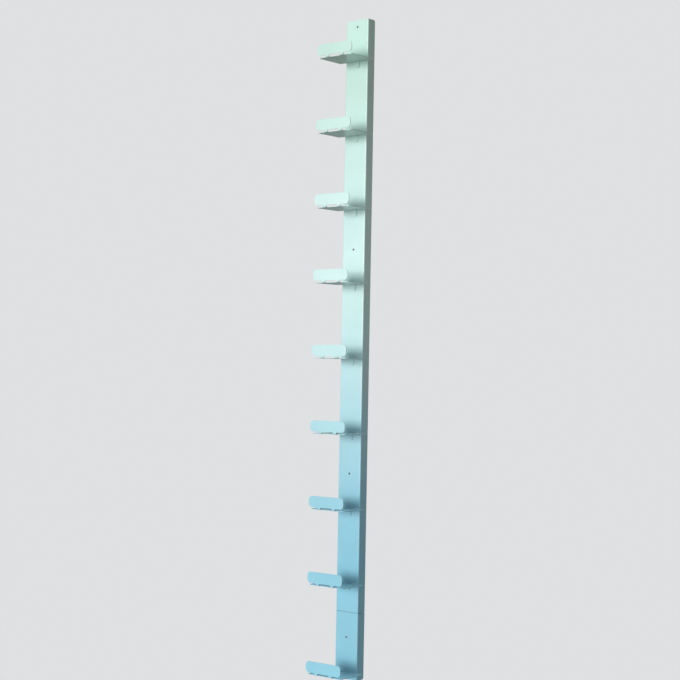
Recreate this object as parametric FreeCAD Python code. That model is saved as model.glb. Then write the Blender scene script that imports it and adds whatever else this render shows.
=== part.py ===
import FreeCAD, Part
import math
import os

# Wall-mounted CD rack of bent sheet steel: a channel-shaped spine in two lengths that carries nine trays.
# Millimetres. X runs along the wall, the front faces -Y, the wall is the plane Y = 0, Z points up.
# The origin lies on the wall at the middle hole of the upper spine's three wall holes.

# Spine channel
SPINE_WIDTH = 80.0
SPINE_DEPTH = 29.0
SPINE_SHEET = 2.0
SPINE_BEND = 1.5
SPINE_ABOVE_TOP_FLOOR = 115.0
SPINE_BELOW_LAST_FLOOR = 20.0
SEAM_BELOW_TRAY = 80.0
SEAM_GAP = 0.8
END_CORNER = 4.0

# Rows of trays
UPPER_TRAYS = 8
TRAY_PITCH = 209.0
LAST_PITCH = 246.0

# Tray sheet
TRAY_SHEET = 2.0
TRAY_BEND = 2.0
TRAY_REACH = 98.0
FLOOR_WIDTH = 120.0
FLOOR_FRONT_CORNER = 8.0
FLOOR_REAR_CORNER = 5.0
FLOOR_REAR_GAP = 0.3
LIP_WIDTH = 125.0
LIP_HEIGHT = 31.0
LIP_CORNER = 11.0
LIP_ABOVE_FLOOR = 4.2
FRONT_TAB_WIDTH = 12.0
FRONT_TAB_OFFSET = 26.0
REAR_TAB_WIDTH = 20.0
REAR_TAB_DROP = 17.5
REAR_TAB_CHAMFER = 3.0
RELIEF_WIDTH = 2.5
TONGUE_WIDTH = 12.0
TONGUE_OFFSET = 26.0
TONGUE_PAST_WEB = 2.5
TONGUE_SIDE_PLAY = 0.5
TONGUE_HEADROOM = 0.8

# Fasteners, M4
STUD_RADIUS = 2.0
STUD_TIP = 1.5
STUD_SLOT_PLAY = 0.25
STUD_SLOT_HEIGHT = 6.5
TRAY_STUD_BELOW_FLOOR = 11.5
NUT_ACROSS_FLATS = 7.0
NUT_HEIGHT = 3.2

# Splice behind the seam
SPLICE_HEIGHT = 108.0
SPLICE_SHEET = 2.0
SPLICE_SIDE_PLAY = 0.3
SPLICE_OFF_WALL = 3.0
SPLICE_STUD_OFFSET = 24.0
SPLICE_STUD_FROM_SEAM = 36.0

# Wall fixing
WALL_HOLE_TRAYS = (1, 4, 7)
WALL_HOLE_ABOVE_FLOOR = 96.0
WALL_HOLE_RADIUS = 2.75
WEB_HOLE_PLAY = 0.5
SPACER_ACROSS_FLATS = 13.0

# Length by which a cut passes its sheet and a strip laps into the sheet that it grows from
LAP = 1.0

# Faces and heights that the pieces share
WEB_FRONT = -SPINE_DEPTH
WEB_BACK = WEB_FRONT + SPINE_SHEET
LIP_FRONT = WEB_FRONT - TRAY_REACH
ORIGIN_TRAY = WALL_HOLE_TRAYS[len(WALL_HOLE_TRAYS) // 2]


def floor_height(tray):
    """Height of a tray's floor, counted from 1 at the top."""
    pitches_down = min(tray, UPPER_TRAYS) - ORIGIN_TRAY
    height = -WALL_HOLE_ABOVE_FLOOR - pitches_down * TRAY_PITCH
    if tray > UPPER_TRAYS:
        height -= LAST_PITCH
    return height


TRAYS = range(1, UPPER_TRAYS + 2)
LOWER_TRAY = UPPER_TRAYS + 1
SPINE_TOP = floor_height(1) + SPINE_ABOVE_TOP_FLOOR
SPINE_BOTTOM = floor_height(LOWER_TRAY) - SPINE_BELOW_LAST_FLOOR
SEAM = floor_height(UPPER_TRAYS) - SEAM_BELOW_TRAY


def vec(x, y, z):
    return FreeCAD.Vector(x, y, z)


ALONG_X = vec(1, 0, 0)
ALONG_Y = vec(0, 1, 0)
ALONG_Z = vec(0, 0, 1)


def box(x0, x1, y0, y1, z0, z1):
    return Part.makeBox(x1 - x0, y1 - y0, z1 - z0, vec(x0, y0, z0))


def rod(radius, x, y0, y1, z):
    """Round bar along Y."""
    return Part.makeCylinder(radius, y1 - y0, vec(x, y0, z), ALONG_Y)


def edges_along(shape, axis):
    found = []
    for edge in shape.Edges:
        if edge.tangentAt(edge.FirstParameter).cross(axis).Length < Part.Precision.confusion():
            found.append(edge)
    return found


def front_pair(edges):
    return sorted(edges, key=lambda edge: edge.CenterOfMass.y)[:2]


def rear_pair(edges):
    return sorted(edges, key=lambda edge: edge.CenterOfMass.y)[-2:]


def low_pair(edges):
    return sorted(edges, key=lambda edge: edge.CenterOfMass.z)[:2]


def channel(half, front, rear, sheet, z0, z1):
    """Upright bent channel with its web in front and two returns that end at rear."""
    outer = box(-half, half, front, rear, z0, z1)
    outer = outer.makeFillet(SPINE_BEND + sheet, front_pair(edges_along(outer, ALONG_Z)))
    hollow = box(-half + sheet, half - sheet, front + sheet, rear + LAP, z0, z1)
    hollow = hollow.makeFillet(SPINE_BEND, front_pair(edges_along(hollow, ALONG_Z)))
    return outer.cut(hollow)


def spine_length(z0, z1):
    return channel(SPINE_WIDTH / 2, WEB_FRONT, 0, SPINE_SHEET, z0, z1)


def crop_wall_corners(bent, end):
    """Crops the corners of a channel's returns, on the side of the wall, at one of its ends."""

    def from_corner(edge):
        return abs(edge.CenterOfMass.y) + abs(edge.CenterOfMass.z - end)

    corners = sorted(edges_along(bent, ALONG_X), key=from_corner)[:2]
    return bent.makeChamfer(END_CORNER, corners)


def stud_slot(x, y0, y1, z):
    """Upright punched slot that lets a stud find its height."""
    half_width = STUD_RADIUS + STUD_SLOT_PLAY
    half_height = STUD_SLOT_HEIGHT / 2
    return box(x - half_width, x + half_width, y0, y1, z - half_height, z + half_height)


def tongue_slot(side, floor):
    """Slot whose lower edge carries a tray's tongue."""
    half = TONGUE_WIDTH / 2 + TONGUE_SIDE_PLAY
    x = side * TONGUE_OFFSET
    return box(x - half, x + half, WEB_FRONT, WEB_BACK, floor - TRAY_SHEET, floor + TONGUE_HEADROOM)


def spine_cuts(trays, wall_heights):
    """Openings in the web: tongue slots and a stud slot for each tray, and the wall holes."""
    cuts = []
    for tray in trays:
        floor = floor_height(tray)
        cuts += [tongue_slot(-1, floor), tongue_slot(1, floor)]
        cuts.append(stud_slot(0, WEB_FRONT, WEB_BACK, floor - TRAY_STUD_BELOW_FLOOR))
    for height in wall_heights:
        cuts.append(rod(WALL_HOLE_RADIUS + WEB_HOLE_PLAY, 0, WEB_FRONT, WEB_BACK, height))
    return cuts


def bent_strip(x, width, y_start, y_outer, rise, z_end):
    """Strip that leaves the floor at y_start, bends up (rise 1) or down (rise -1) and ends at z_end.

    Heights count from the floor's top. y_outer is the leg's outer face.
    """
    run = math.copysign(1, y_outer - y_start)
    inner_z = 0.0 if rise > 0 else -TRAY_SHEET
    outer_z = -TRAY_SHEET if rise > 0 else 0.0
    bend_y = y_outer - run * (TRAY_BEND + TRAY_SHEET)
    bend_z = inner_z + rise * TRAY_BEND
    corner = math.sqrt(0.5)

    def on_bend(size):
        return (bend_y + run * size * corner, bend_z - rise * size * corner)

    def at(point):
        return vec(x - width / 2, point[0], point[1])

    inner_leg = y_outer - run * TRAY_SHEET
    outline = [
        Part.LineSegment(at((y_start, inner_z)), at((bend_y, inner_z))),
        Part.Arc(at((bend_y, inner_z)), at(on_bend(TRAY_BEND)), at((inner_leg, bend_z))),
        Part.LineSegment(at((inner_leg, bend_z)), at((inner_leg, z_end))),
        Part.LineSegment(at((inner_leg, z_end)), at((y_outer, z_end))),
        Part.LineSegment(at((y_outer, z_end)), at((y_outer, bend_z))),
        Part.Arc(at((y_outer, bend_z)), at(on_bend(TRAY_BEND + TRAY_SHEET)), at((bend_y, outer_z))),
        Part.LineSegment(at((bend_y, outer_z)), at((y_start, outer_z))),
        Part.LineSegment(at((y_start, outer_z)), at((y_start, inner_z))),
    ]
    wire = Part.Wire([segment.toShape() for segment in outline])
    return Part.Face(wire).extrude(vec(width, 0, 0))


def tray_floor():
    """Floor plate with rounded corners, tongues for the spine, and relief cuts beside the rear tab's bend."""
    front = LIP_FRONT + TRAY_SHEET + TRAY_BEND
    rear = WEB_FRONT - FLOOR_REAR_GAP
    half = FLOOR_WIDTH / 2
    plate = box(-half, half, front, rear, -TRAY_SHEET, 0)
    plate = plate.makeFillet(FLOOR_FRONT_CORNER, front_pair(edges_along(plate, ALONG_Z)))
    plate = plate.makeFillet(FLOOR_REAR_CORNER, rear_pair(edges_along(plate, ALONG_Z)))
    notch_half = REAR_TAB_WIDTH / 2 + RELIEF_WIDTH
    bend_start = WEB_FRONT - TRAY_SHEET - TRAY_BEND
    plate = plate.cut(box(-notch_half, notch_half, bend_start, rear + LAP, -TRAY_SHEET, 0))
    half_relief = RELIEF_WIDTH / 2
    half_tongue = TONGUE_WIDTH / 2
    relief_end = bend_start - RELIEF_WIDTH
    tongue_end = WEB_BACK + TONGUE_PAST_WEB
    for side in (-1, 1):
        x = side * (notch_half - half_relief)
        plate = plate.cut(box(x - half_relief, x + half_relief, relief_end, rear, -TRAY_SHEET, 0))
        x = side * TONGUE_OFFSET
        plate = plate.fuse(box(x - half_tongue, x + half_tongue, rear - LAP, tongue_end, -TRAY_SHEET, 0))
    return plate


def tray_lip():
    """Front lip with all four corners rounded."""
    half = LIP_WIDTH / 2
    top = LIP_ABOVE_FLOOR + LIP_HEIGHT
    lip = box(-half, half, LIP_FRONT, LIP_FRONT + TRAY_SHEET, LIP_ABOVE_FLOOR, top)
    return lip.makeFillet(LIP_CORNER, edges_along(lip, ALONG_Y))


def tray():
    """One tray in one sheet, with its floor's top at Z = 0."""
    front_start = LIP_FRONT + TRAY_SHEET + TRAY_BEND + LAP
    rear_start = WEB_FRONT - TRAY_SHEET - TRAY_BEND - LAP
    lip_middle = LIP_ABOVE_FLOOR + LIP_HEIGHT / 2
    pieces = [tray_lip()]
    for side in (-1, 1):
        tab_x = side * FRONT_TAB_OFFSET
        pieces.append(bent_strip(tab_x, FRONT_TAB_WIDTH, front_start, LIP_FRONT, 1, lip_middle))
    tab_end = -TRAY_SHEET - REAR_TAB_DROP
    rear_tab = bent_strip(0, REAR_TAB_WIDTH, rear_start, WEB_FRONT, -1, tab_end)
    pieces.append(rear_tab.makeChamfer(REAR_TAB_CHAMFER, low_pair(edges_along(rear_tab, ALONG_Y))))
    return tray_floor().multiFuse(pieces).removeSplitter()


def hexagon_sleeve(across_flats, bore_radius, x, y0, y1, z):
    """Six-sided bar along Y with a round bore and a corner on top."""
    corner = across_flats / math.sqrt(3)
    points = []
    for step in range(7):
        angle = math.radians(60 * step + 30)
        points.append(vec(x + corner * math.cos(angle), y0, z + corner * math.sin(angle)))
    bar = Part.Face(Part.makePolygon(points)).extrude(vec(0, y1 - y0, 0))
    return bar.cut(rod(bore_radius, x, y0, y1, z))


def nut(x, y, z):
    """Nut that seats at y on its stud, on the side of the wall."""
    return hexagon_sleeve(NUT_ACROSS_FLATS, STUD_RADIUS, x, y, y + NUT_HEIGHT, z)


def splice_points():
    """Places of the four splice studs, two on each side of the seam."""
    return [
        (x, SEAM + z)
        for x in (-SPLICE_STUD_OFFSET, SPLICE_STUD_OFFSET)
        for z in (-SPLICE_STUD_FROM_SEAM, SPLICE_STUD_FROM_SEAM)
    ]


def splice_plate():
    """Short bent plate that nests in the spine's channel across the seam."""
    half = SPINE_WIDTH / 2 - SPINE_SHEET - SPLICE_SIDE_PLAY
    low = SEAM - SPLICE_HEIGHT / 2
    high = SEAM + SPLICE_HEIGHT / 2
    plate = channel(half, WEB_BACK, -SPLICE_OFF_WALL, SPLICE_SHEET, low, high)
    plate = crop_wall_corners(crop_wall_corners(plate, low), high)
    for x, z in splice_points():
        plate = plate.cut(stud_slot(x, WEB_BACK, WEB_BACK + SPLICE_SHEET, z))
    return plate


def wall_spacer(height):
    return hexagon_sleeve(SPACER_ACROSS_FLATS, WALL_HOLE_RADIUS, 0, WEB_BACK, 0, height)


def at_floor(shape, tray_number):
    placed = shape.copy()
    placed.translate(vec(0, 0, floor_height(tray_number)))
    return placed


def save(name, shape):
    shape.exportStep(os.path.join("parts", name + ".step"))


os.makedirs("parts", exist_ok=True)

upper_holes = [floor_height(number) + WALL_HOLE_ABOVE_FLOOR for number in WALL_HOLE_TRAYS]
lower_hole = floor_height(LOWER_TRAY) + WALL_HOLE_ABOVE_FLOOR

upper = crop_wall_corners(spine_length(SEAM + SEAM_GAP / 2, SPINE_TOP), SPINE_TOP)
for cut in spine_cuts(range(1, UPPER_TRAYS + 1), upper_holes):
    upper = upper.cut(cut)
save("spine_upper", upper)

lower = crop_wall_corners(spine_length(SPINE_BOTTOM, SEAM - SEAM_GAP / 2), SPINE_BOTTOM)
for cut in spine_cuts([LOWER_TRAY], [lower_hole]):
    lower = lower.cut(cut)
save("spine_lower", lower)

one_tray = tray()
for number in TRAYS:
    save("tray_%d" % number, at_floor(one_tray, number))

# Studs are welded to the backs of the rear tabs and pass through the web
stud_end = WEB_BACK + NUT_HEIGHT + STUD_TIP
one_stud = rod(STUD_RADIUS, 0, WEB_FRONT, stud_end, -TRAY_STUD_BELOW_FLOOR)
save("tray_studs", Part.makeCompound([at_floor(one_stud, number) for number in TRAYS]))
one_nut = nut(0, WEB_BACK, -TRAY_STUD_BELOW_FLOOR)
save("tray_nuts", Part.makeCompound([at_floor(one_nut, number) for number in TRAYS]))

save("splice_plate", splice_plate())
splice_end = WEB_BACK + SPLICE_SHEET + NUT_HEIGHT + STUD_TIP
splice_studs = [rod(STUD_RADIUS, x, WEB_BACK, splice_end, z) for x, z in splice_points()]
save("splice_studs", Part.makeCompound(splice_studs))
splice_nuts = [nut(x, WEB_BACK + SPLICE_SHEET, z) for x, z in splice_points()]
save("splice_nuts", Part.makeCompound(splice_nuts))

save("wall_spacers", Part.makeCompound([wall_spacer(height) for height in upper_holes + [lower_hole]]))
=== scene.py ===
import math

import bmesh
import bpy
from mathutils import Matrix, Vector


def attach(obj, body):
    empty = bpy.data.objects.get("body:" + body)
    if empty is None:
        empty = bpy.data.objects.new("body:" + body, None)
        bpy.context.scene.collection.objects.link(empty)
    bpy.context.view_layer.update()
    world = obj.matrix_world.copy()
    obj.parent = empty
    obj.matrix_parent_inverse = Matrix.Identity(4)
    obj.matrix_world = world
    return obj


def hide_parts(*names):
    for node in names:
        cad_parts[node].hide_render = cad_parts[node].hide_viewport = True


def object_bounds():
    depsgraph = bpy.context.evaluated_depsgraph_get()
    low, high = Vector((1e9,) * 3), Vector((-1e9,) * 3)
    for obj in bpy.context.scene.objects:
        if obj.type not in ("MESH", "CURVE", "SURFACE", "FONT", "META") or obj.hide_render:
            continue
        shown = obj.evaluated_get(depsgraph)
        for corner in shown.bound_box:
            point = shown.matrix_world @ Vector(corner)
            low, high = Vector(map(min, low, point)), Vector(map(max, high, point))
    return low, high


# Looks of the wall-mounted CD rack, in metres, in the frame of its solids
# The wall is Y = 0, the front faces -Y and Z points up
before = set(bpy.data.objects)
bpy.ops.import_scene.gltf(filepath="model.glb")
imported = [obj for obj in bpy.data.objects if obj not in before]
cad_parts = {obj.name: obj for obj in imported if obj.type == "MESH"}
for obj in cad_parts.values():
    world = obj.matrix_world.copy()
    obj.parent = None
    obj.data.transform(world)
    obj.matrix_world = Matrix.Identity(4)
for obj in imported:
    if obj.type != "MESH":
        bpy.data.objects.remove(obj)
cad_low, cad_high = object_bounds()
scene = bpy.context.scene
scene.view_settings.view_transform = "Standard"
TRAYS = ["tray_%d" % number for number in range(1, 10)]
SPINES = ["spine_upper", "spine_lower"]

# Camera at the viewing angle of the photograph, for an image of 680 by 680
IMAGE_SIDE = 680
CAMERA_PLACE = Vector((2.7656, -3.3309, -0.3521))
CAMERA_AZIMUTH = math.radians(40.389)
CAMERA_TILT_UP = math.radians(1.302)
CAMERA_ROLL = math.radians(1.0575)
CAMERA_FOCAL_PIXELS = 1538.75
SENSOR = 36.0

# Tint of the paint with painted light, each with its place between the foot, 0, and the top, 1: partly
# the coat's own tint, partly the room's light painted in, lightest around the middle and bluer and
# darker at the foot
COAT_AND_LIGHT_FOOT = (0.18, (0.25, 0.55, 0.675, 1))
COAT_AND_LIGHT_MIDDLE = (0.64, (0.59, 0.81, 0.79, 1))
COAT_AND_LIGHT_TOP = (0.96, (0.51, 0.73, 0.655, 1))

# Darker and lighter tint of the other finishes
ZINC_TINTS = ((0.59, 0.60, 0.62, 1), (0.73, 0.74, 0.76, 1))
# The splice plate's dark tints are painted shade: they darken the seam between the spine sections
PHOSPHATE_SEAM_SHADE_TINTS = ((0.060, 0.066, 0.071, 1), (0.095, 0.102, 0.109, 1))
NYLON_TINTS = ((0.68, 0.68, 0.65, 1), (0.78, 0.78, 0.75, 1))
FLOOR_TINTS = ((0.79, 0.81, 0.83, 1), (0.81, 0.83, 0.85, 1))

# Rolling draws the zinc's grain out along the rack
ROLLED_STRETCH = (1, 1, 0.04)

# Range in which most noise values lie
NOISE_LOW = 0.3
NOISE_HIGH = 0.7

# Floor, well below the rack's foot
FLOOR_DROP = 0.9
FLOOR_RADIUS = 1.8
FLOOR_FADE_START = 0.5
FLOOR_SIDES = 96

# Edge rounding of sheet
SHEET_EDGE = 0.00028
SHEET_EDGE_STEPS = 2
SHARP_EDGE = math.radians(35)
FLAT_EDGE = math.radians(0.5)
SAME_POINT = 1e-6

# M4 thread, and the turned ends of nuts and spacers
STUD_RADIUS = 0.002
SPACER_BORE = 0.00275
THREAD_PITCH = 0.0007
THREAD_DEPTH = 0.00043
THREAD_FLANKS = 0.8
THREAD_ROWS = 6
THREAD_SIDES = 16
STUD_POINT = 0.0005
STUD_POINT_INSET = 0.00025
NUT_FACE = 0.94
NUT_BORE_EASE = 0.0002
SPACER_FACE = 0.97
SPACER_BORE_EASE = 0.0004
TURNED_ANGLE = math.radians(30)
HEXAGON_STEPS = 36
SMOOTH_EDGE = math.radians(25)

# Tints of the backdrop, and of the room that reflections and shade see
BACKDROP = (0.74, 0.75, 0.76, 1)
ROOM = (0.215, 0.205, 0.20, 1)


def camera():
    data = bpy.data.cameras.new("camera")
    data.sensor_width = SENSOR
    data.lens = CAMERA_FOCAL_PIXELS / IMAGE_SIDE * SENSOR
    right = Vector((math.cos(CAMERA_AZIMUTH), math.sin(CAMERA_AZIMUTH), 0))
    level_ahead = Vector((-right.y, right.x, 0))
    ahead = level_ahead * math.cos(CAMERA_TILT_UP) + Vector((0, 0, math.sin(CAMERA_TILT_UP)))
    up = right.cross(ahead)
    rolled_right = right * math.cos(CAMERA_ROLL) + up * math.sin(CAMERA_ROLL)
    rolled_up = up * math.cos(CAMERA_ROLL) - right * math.sin(CAMERA_ROLL)
    turn = Matrix((rolled_right, rolled_up, -ahead)).transposed()
    obj = bpy.data.objects.new("camera", data)
    obj.matrix_world = Matrix.Translation(CAMERA_PLACE) @ turn.to_4x4()
    scene.collection.objects.link(obj)
    scene.camera = obj


class Surface:
    """A material with one shader, and what varies it over the object."""

    def __init__(self, name):
        self.material = bpy.data.materials.new(name)
        self.material.use_nodes = True
        self.nodes = self.material.node_tree.nodes
        self.links = self.material.node_tree.links
        self.shader = self.nodes["Principled BSDF"]
        self.place = self.nodes.new("ShaderNodeTexCoord").outputs["Object"]

    def set(self, socket, value):
        self.shader.inputs[socket].default_value = value

    def noise(self, scale, detail, place=None):
        node = self.nodes.new("ShaderNodeTexNoise")
        node.inputs["Scale"].default_value = scale
        node.inputs["Detail"].default_value = detail
        self.links.new(place or self.place, node.inputs["Vector"])
        return node.outputs["Fac"]

    def spread(self, noise, low, high):
        """Maps the usual range of a noise to another one."""
        node = self.nodes.new("ShaderNodeMapRange")
        node.inputs["From Min"].default_value = NOISE_LOW
        node.inputs["From Max"].default_value = NOISE_HIGH
        node.inputs["To Min"].default_value = low
        node.inputs["To Max"].default_value = high
        self.links.new(noise, node.inputs["Value"])
        return node.outputs["Result"]

    def mottle(self, noise, tints, low=NOISE_LOW, high=NOISE_HIGH):
        """Base colour that goes from the darker to the lighter tint with a noise."""
        ramp = self.nodes.new("ShaderNodeValToRGB")
        for stop, position, tint in zip(ramp.color_ramp.elements, (low, high), tints):
            stop.position = position
            stop.color = tint
        self.links.new(noise, ramp.inputs["Fac"])
        self.links.new(ramp.outputs["Color"], self.shader.inputs["Base Color"])

    def roughen(self, noise, low, high):
        self.links.new(self.spread(noise, low, high), self.shader.inputs["Roughness"])

    def emboss(self, noise, strength, depth):
        node = self.nodes.new("ShaderNodeBump")
        node.inputs["Strength"].default_value = strength
        node.inputs["Distance"].default_value = depth
        self.links.new(noise, node.inputs["Height"])
        self.links.new(node.outputs["Normal"], self.shader.inputs["Normal"])


def coat_tint_and_painted_light(surface):
    """Tint of the paint by height on the rack, partly the coat's own and partly painted light: bluer
    and darker at the foot, lightest around the middle.
    """
    split = surface.nodes.new("ShaderNodeSeparateXYZ")
    surface.links.new(surface.place, split.inputs["Vector"])
    height = surface.nodes.new("ShaderNodeMapRange")
    height.inputs["From Min"].default_value = cad_low.z
    height.inputs["From Max"].default_value = cad_high.z
    surface.links.new(split.outputs["Z"], height.inputs["Value"])
    ramp = surface.nodes.new("ShaderNodeValToRGB")
    ramp.color_ramp.interpolation = "EASE"
    stops = ramp.color_ramp.elements
    stops[0].position, stops[0].color = COAT_AND_LIGHT_FOOT
    stops[1].position, stops[1].color = COAT_AND_LIGHT_TOP
    middle, tint = COAT_AND_LIGHT_MIDDLE
    stops.new(middle).color = tint
    surface.links.new(height.outputs["Result"], ramp.inputs["Fac"])
    return ramp.outputs["Color"]


def paint():
    """Satin powder coat with a fine orange peel, pale mint at the top and pale aqua at the foot, a
    shift that is partly painted light.
    """
    surface = Surface("powder_coat_with_painted_light")
    cloud = surface.noise(scale=9, detail=3)
    tint = surface.nodes.new("ShaderNodeMix")
    tint.data_type = "RGBA"
    tint.blend_type = "MULTIPLY"
    tint.inputs["Factor"].default_value = 1
    # Painted light: the height ramp puts the room's light, bluer and darker at the foot, into the base
    # colour
    surface.links.new(coat_tint_and_painted_light(surface), tint.inputs["A"])
    surface.links.new(surface.spread(cloud, low=0.97, high=1.02), tint.inputs["B"])
    surface.links.new(tint.outputs["Result"], surface.shader.inputs["Base Color"])
    surface.roughen(surface.noise(scale=12, detail=1), low=0.28, high=0.34)
    surface.emboss(surface.noise(scale=700, detail=2), strength=0.2, depth=0.0002)
    surface.set("Coat Weight", 0.25)
    surface.set("Coat Roughness", 0.12)
    return surface.material


def zinc():
    """Bright zinc plating on rolled steel."""
    surface = Surface("zinc_plate")
    stretch = surface.nodes.new("ShaderNodeMapping")
    stretch.inputs["Scale"].default_value = ROLLED_STRETCH
    surface.links.new(surface.place, stretch.inputs["Vector"])
    grain = surface.noise(scale=1800, detail=2, place=stretch.outputs["Vector"])
    surface.mottle(surface.noise(scale=60, detail=4), ZINC_TINTS)
    surface.roughen(grain, low=0.40, high=0.56)
    surface.emboss(grain, strength=0.15, depth=0.0001)
    surface.set("Metallic", 1)
    return surface.material


def phosphate_seam_shade():
    """Matt phosphate coat on steel, dark as painted shade for the seam in front of it."""
    surface = Surface("phosphate_seam_shade")
    surface.mottle(surface.noise(scale=90, detail=4), PHOSPHATE_SEAM_SHADE_TINTS)
    surface.roughen(surface.noise(scale=400, detail=3), low=0.55, high=0.70)
    surface.emboss(surface.noise(scale=2500, detail=2), strength=0.15, depth=0.0001)
    return surface.material


def nylon():
    """Natural nylon, slightly milky."""
    surface = Surface("nylon")
    surface.mottle(surface.noise(scale=120, detail=3), NYLON_TINTS)
    surface.roughen(surface.noise(scale=500, detail=2), low=0.45, high=0.60)
    surface.emboss(surface.noise(scale=1500, detail=2), strength=0.1, depth=0.0001)
    surface.set("Subsurface Weight", 0.15)
    surface.set("Subsurface Radius", (0.004, 0.004, 0.003))
    return surface.material


def add_piece(name, mesh, node):
    """Object that stands for a node of the frame."""
    obj = bpy.data.objects.new(name, mesh)
    scene.collection.objects.link(obj)
    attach(obj, "root")
    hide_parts(node)
    return obj


def rounded_sheet(node, material):
    """The node's own sheet with its cut edges rounded."""
    name = node + "_sheet"
    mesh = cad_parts[node].data.copy()
    mesh.name = name
    mesh.materials.clear()
    mesh.materials.append(material)
    work = bmesh.new()
    work.from_mesh(mesh)
    bmesh.ops.remove_doubles(work, verts=work.verts, dist=SAME_POINT)
    bmesh.ops.dissolve_limit(work, angle_limit=FLAT_EDGE, verts=work.verts, edges=work.edges)
    work.to_mesh(mesh)
    work.free()
    mesh.shade_smooth()
    obj = add_piece(name, mesh, node)
    edge = obj.modifiers.new("edge", "BEVEL")
    edge.width = SHEET_EDGE
    edge.segments = SHEET_EDGE_STEPS
    edge.limit_method = "ANGLE"
    edge.angle_limit = SHARP_EDGE
    edge.use_clamp_overlap = False
    edge.loop_slide = False
    obj.modifiers.new("normals", "WEIGHTED_NORMAL").keep_sharp = True


def solid_boxes(node):
    """Lowest and highest corners of each separate solid of a node."""
    work = bmesh.new()
    work.from_mesh(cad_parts[node].data)
    bmesh.ops.remove_doubles(work, verts=work.verts, dist=SAME_POINT)
    unseen = set(work.verts)
    boxes = []
    while unseen:
        reached = [unseen.pop()]
        for vert in reached:
            for edge in vert.link_edges:
                other = edge.other_vert(vert)
                if other in unseen:
                    unseen.remove(other)
                    reached.append(other)
        low = [min(vert.co[axis] for vert in reached) for axis in range(3)]
        high = [max(vert.co[axis] for vert in reached) for axis in range(3)]
        boxes.append((low, high))
    work.free()
    return [(Vector(low), Vector(high)) for low, high in sorted(boxes)]


def ring_faces(work, rings, closed):
    """Skins a list of equally long rings of points; closed joins the last ring to the first."""
    rows = [[work.verts.new(point) for point in ring] for ring in rings]
    following = rows[1:] + rows[:1] if closed else rows[1:]
    for row, beyond in zip(rows, following):
        for step in range(len(row)):
            after = (step + 1) % len(row)
            work.faces.new((row[step], row[after], beyond[after], beyond[step]))
    return rows


def hexagon_sleeve(work, low, high, bore, face, bore_ease):
    """Six-sided sleeve along Y whose corners are turned down at both ends, to face times its flats."""
    flat = (high.x - low.x) / 2
    turned = flat * face
    x = (low.x + high.x) / 2
    z = (low.z + high.z) / 2
    rings = []
    for step in range(HEXAGON_STEPS):
        angle = math.tau * step / HEXAGON_STEPS
        from_flat = (angle + math.pi / 6) % (math.pi / 3) - math.pi / 6
        side = flat / math.cos(from_flat)
        drop = (side - turned) * math.tan(TURNED_ANGLE)
        profile = [
            (bore, low.y + bore_ease),
            (bore + bore_ease, low.y),
            (turned, low.y),
            (side, low.y + drop),
            (side, high.y - drop),
            (turned, high.y),
            (bore + bore_ease, high.y),
            (bore, high.y - bore_ease),
        ]
        rings.append([(x + r * math.cos(angle), y, z + r * math.sin(angle)) for r, y in profile])
    ring_faces(work, rings, True)


def nut(work, low, high):
    hexagon_sleeve(work, low, high, STUD_RADIUS, NUT_FACE, NUT_BORE_EASE)


def spacer(work, low, high):
    hexagon_sleeve(work, low, high, SPACER_BORE, SPACER_FACE, SPACER_BORE_EASE)


def threaded_stud(work, low, high):
    """Stud along Y with a helical thread and a chamfered point."""
    crest = (high.x - low.x) / 2
    x = (low.x + high.x) / 2
    z = (low.z + high.z) / 2
    thread_end = high.y - STUD_POINT
    count = math.ceil((thread_end - low.y) / THREAD_PITCH * THREAD_ROWS)
    turns = [step / THREAD_SIDES for step in range(THREAD_SIDES)]

    def around(turn, radius, y):
        return (x + radius * math.cos(math.tau * turn), y, z + radius * math.sin(math.tau * turn))

    rings = []
    for row in range(count + 1):
        y = low.y + (thread_end - low.y) * row / count
        ring = []
        for turn in turns:
            phase = ((y - low.y) / THREAD_PITCH + turn) % 1
            depth = THREAD_DEPTH * min(1, abs(2 * phase - 1) / THREAD_FLANKS)
            ring.append(around(turn, crest - depth, y))
        rings.append(ring)
    point = crest - THREAD_DEPTH - STUD_POINT_INSET
    rings.append([around(turn, point, high.y) for turn in turns])
    rows = ring_faces(work, rings, False)
    work.faces.new(rows[0])
    work.faces.new(rows[-1])


def fittings(node, name, material, build):
    """One piece that stands for all of a node's solids, each built inside its own box."""
    work = bmesh.new()
    for low, high in solid_boxes(node):
        build(work, low, high)
    bmesh.ops.recalc_face_normals(work, faces=work.faces)
    mesh = bpy.data.meshes.new(name)
    work.to_mesh(mesh)
    work.free()
    mesh.materials.append(material)
    mesh.shade_smooth()
    mesh.set_sharp_from_angle(angle=SMOOTH_EDGE)
    add_piece(name, mesh, node)


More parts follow.
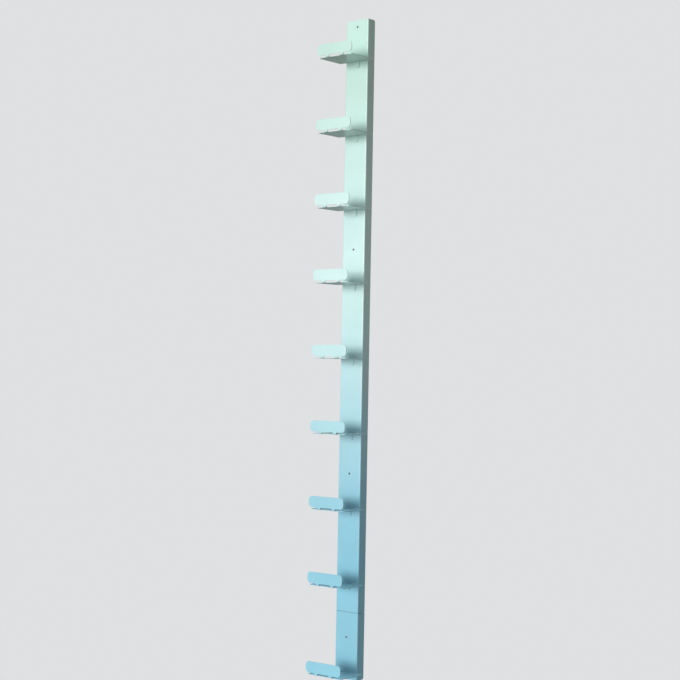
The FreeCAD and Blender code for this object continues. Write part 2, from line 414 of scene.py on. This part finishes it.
def floor():
    """Pale disc that fades out towards its rim."""
    bpy.ops.mesh.primitive_circle_add(
        vertices=FLOOR_SIDES,
        radius=FLOOR_RADIUS,
        fill_type="NGON",
        location=(0, 0, cad_low.z - FLOOR_DROP),
    )
    obj = bpy.context.object
    obj.name = "floor"
    surface = Surface("floor")
    surface.mottle(surface.noise(scale=3, detail=2), FLOOR_TINTS, low=0, high=1)
    surface.set("Roughness", 0.9)
    surface.set("Specular IOR Level", 0.1)
    reach = surface.nodes.new("ShaderNodeVectorMath")
    reach.operation = "LENGTH"
    surface.links.new(surface.place, reach.inputs[0])
    fade = surface.nodes.new("ShaderNodeMapRange")
    fade.interpolation_type = "SMOOTHSTEP"
    fade.inputs["From Min"].default_value = FLOOR_FADE_START
    fade.inputs["From Max"].default_value = FLOOR_RADIUS
    surface.links.new(reach.outputs["Value"], fade.inputs["Value"])
    clear = surface.nodes.new("ShaderNodeBsdfTransparent")
    faded = surface.nodes.new("ShaderNodeMixShader")
    share, at_middle, at_rim = faded.inputs
    surface.links.new(fade.outputs["Result"], share)
    surface.links.new(surface.shader.outputs["BSDF"], at_middle)
    surface.links.new(clear.outputs["BSDF"], at_rim)
    surface.links.new(faded.outputs["Shader"], surface.nodes["Material Output"].inputs["Surface"])
    obj.data.materials.append(surface.material)


def sun(name, strength, toward, softness):
    """White lamp that shines along toward; softness is its angle across, in degrees."""
    data = bpy.data.lights.new(name, "SUN")
    data.energy = strength
    data.angle = math.radians(softness)
    obj = bpy.data.objects.new(name, data)
    obj.rotation_mode = "QUATERNION"
    obj.rotation_quaternion = Vector(toward).to_track_quat("-Z", "Y")
    scene.collection.objects.link(obj)


def surroundings():
    """Pale backdrop, with a dim grey room in reflections and shade."""
    world = bpy.data.worlds.new("world")
    scene.world = world
    world.use_nodes = True
    nodes = world.node_tree.nodes
    links = world.node_tree.links
    nodes.clear()
    backdrop = nodes.new("ShaderNodeBackground")
    backdrop.inputs["Color"].default_value = BACKDROP
    room = nodes.new("ShaderNodeBackground")
    room.inputs["Color"].default_value = ROOM
    path = nodes.new("ShaderNodeLightPath")
    mix = nodes.new("ShaderNodeMixShader")
    out = nodes.new("ShaderNodeOutputWorld")
    direct, in_reflections, behind_the_rack = mix.inputs
    links.new(path.outputs["Is Camera Ray"], direct)
    links.new(room.outputs["Background"], in_reflections)
    links.new(backdrop.outputs["Background"], behind_the_rack)
    links.new(mix.outputs["Shader"], out.inputs["Surface"])


def lamps():
    """Soft lamps in front, above and behind."""
    sun("key", strength=2.05, toward=(0.35, 1, -0.12), softness=20)
    sun("fill", strength=0.8, toward=(-0.1, 1, -0.05), softness=45)
    sun("top", strength=1.6, toward=(0, 0.1, -1), softness=40)
    sun("back", strength=1.7, toward=(0.15, -1, -0.15), softness=40)


camera()
# The trays and spines share this paint and its painted light
coat = paint()
plating = zinc()
for node in TRAYS + SPINES:
    rounded_sheet(node, coat)
# Painted shade: the splice plate is dark so that the seam in front of it reads dark
rounded_sheet("splice_plate", phosphate_seam_shade())
for node in ("tray_studs", "splice_studs"):
    fittings(node, node + "_threaded", plating, threaded_stud)
for node in ("tray_nuts", "splice_nuts"):
    fittings(node, node + "_turned", plating, nut)
fittings("wall_spacers", "wall_spacers_moulded", nylon(), spacer)
floor()
surroundings()
lamps()
